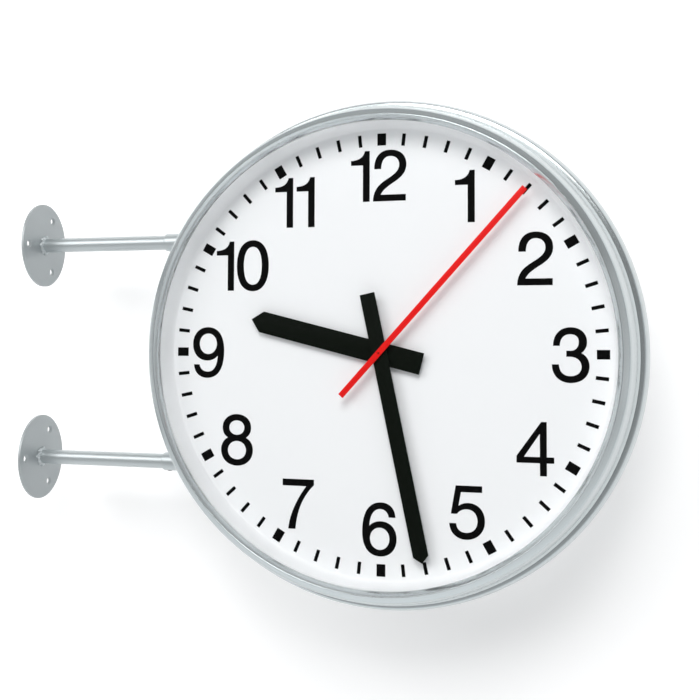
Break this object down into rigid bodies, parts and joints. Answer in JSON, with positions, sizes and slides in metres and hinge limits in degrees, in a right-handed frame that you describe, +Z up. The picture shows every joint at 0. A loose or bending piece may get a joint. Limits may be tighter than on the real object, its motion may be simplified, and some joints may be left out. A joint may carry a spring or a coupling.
{
  "type": "station clock",
  "caption": "Round double sided station clock held out from a wall by two horizontal tubes with round flanges; geared hour, minute and second hands on each face.",
  "frame": {"origin": "centre of the upper wall flange's back face, on the wall", "axes": "+X out from the wall along the arms, +Z up, -Y towards the viewer of the front dial"},
  "size_m": [0.5684, 0.095, 0.4468],
  "materials": {
    "silver_case": "satin silver grey paint",
    "silver_arm": "satin silver grey paint",
    "dial_white": "matt white paint with black marks",
    "clear_pane": "clear, polished",
    "hand_black": "matt",
    "hand_red": "matt",
    "movement_black": "moulded",
    "drive_grey": "moulded",
    "gear_white": "moulded",
    "brass": "turned",
    "battery_skin": "satin",
    "steel": "zinc plated"
  },
  "bodies": {
    "clock_body": {"arm_sockets": "silver_case", "centre_ring": "silver_case", "dial_brackets": "steel", "front_battery": "battery_skin", "front_battery_contacts": "steel", "front_bezel": "silver_case", "front_bezel_clips": "steel", "front_dial": "dial_white", "front_dial_nut": "brass", "front_drive_unit": "drive_grey", "front_movement_case": "movement_black", "front_movement_cover": "movement_black", "front_pane": "clear_pane", "lower_arm_tube": "silver_arm", "lower_wall_flange": "silver_arm", "rear_battery": "battery_skin", "rear_battery_contacts": "steel", "rear_bezel": "silver_case", "rear_bezel_clips": "steel", "rear_dial": "dial_white", "rear_dial_nut": "brass", "rear_drive_unit": "drive_grey", "rear_movement_case": "movement_black", "rear_movement_cover": "movement_black", "rear_pane": "clear_pane", "set_screws": "steel", "upper_arm_tube": "silver_arm", "upper_wall_flange": "silver_arm"},
    "front_minute_train": {"front_minute_pinion": "brass", "front_minute_hand": "hand_black"},
    "front_hour_train": {"front_hour_wheel": "gear_white", "front_hour_hand": "hand_black"},
    "front_motion_train": {"front_motion_wheel": "gear_white"},
    "front_second_train": {"front_second_arbor": "steel", "front_second_hand": "hand_red"},
    "rear_minute_train": {"rear_minute_pinion": "brass", "rear_minute_hand": "hand_black"},
    "rear_hour_train": {"rear_hour_wheel": "gear_white", "rear_hour_hand": "hand_black"},
    "rear_motion_train": {"rear_motion_wheel": "gear_white"},
    "rear_second_train": {"rear_second_arbor": "steel", "rear_second_hand": "hand_red"}
  },
  "joints": [
    {"name": "front_minute_turn", "type": "hinge", "parent": "clock_body", "child": "front_minute_train", "pos_m": [0.345, 0, -0.1025], "axis": [0, 1, 0], "continuous": true},
    {"name": "front_hour_turn", "type": "hinge", "parent": "clock_body", "child": "front_hour_train", "pos_m": [0.345, 0, -0.1025], "axis": [0, 1, 0], "continuous": true},
    {"name": "front_motion_turn", "type": "hinge", "parent": "clock_body", "child": "front_motion_train", "pos_m": [0.35518, 0, -0.09232], "axis": [0, 1, 0], "continuous": true},
    {"name": "front_second_turn", "type": "hinge", "parent": "clock_body", "child": "front_second_train", "pos_m": [0.345, 0, -0.1025], "axis": [0, 1, 0], "continuous": true},
    {"name": "rear_minute_turn", "type": "hinge", "parent": "clock_body", "child": "rear_minute_train", "pos_m": [0.345, 0, -0.1025], "axis": [0, -1, 0], "continuous": true},
    {"name": "rear_hour_turn", "type": "hinge", "parent": "clock_body", "child": "rear_hour_train", "pos_m": [0.345, 0, -0.1025], "axis": [0, -1, 0], "continuous": true},
    {"name": "rear_motion_turn", "type": "hinge", "parent": "clock_body", "child": "rear_motion_train", "pos_m": [0.33482, 0, -0.09232], "axis": [0, -1, 0], "continuous": true},
    {"name": "rear_second_turn", "type": "hinge", "parent": "clock_body", "child": "rear_second_train", "pos_m": [0.345, 0, -0.1025], "axis": [0, -1, 0], "continuous": true}
  ],
  "couplings": [
    {"joint": "front_hour_turn", "follows": "front_minute_turn", "ratio": 0.083333},
    {"joint": "front_motion_turn", "follows": "front_minute_turn", "ratio": -0.33333},
    {"joint": "rear_hour_turn", "follows": "rear_minute_turn", "ratio": 0.083333},
    {"joint": "rear_motion_turn", "follows": "rear_minute_turn", "ratio": -0.33333}
  ]
}
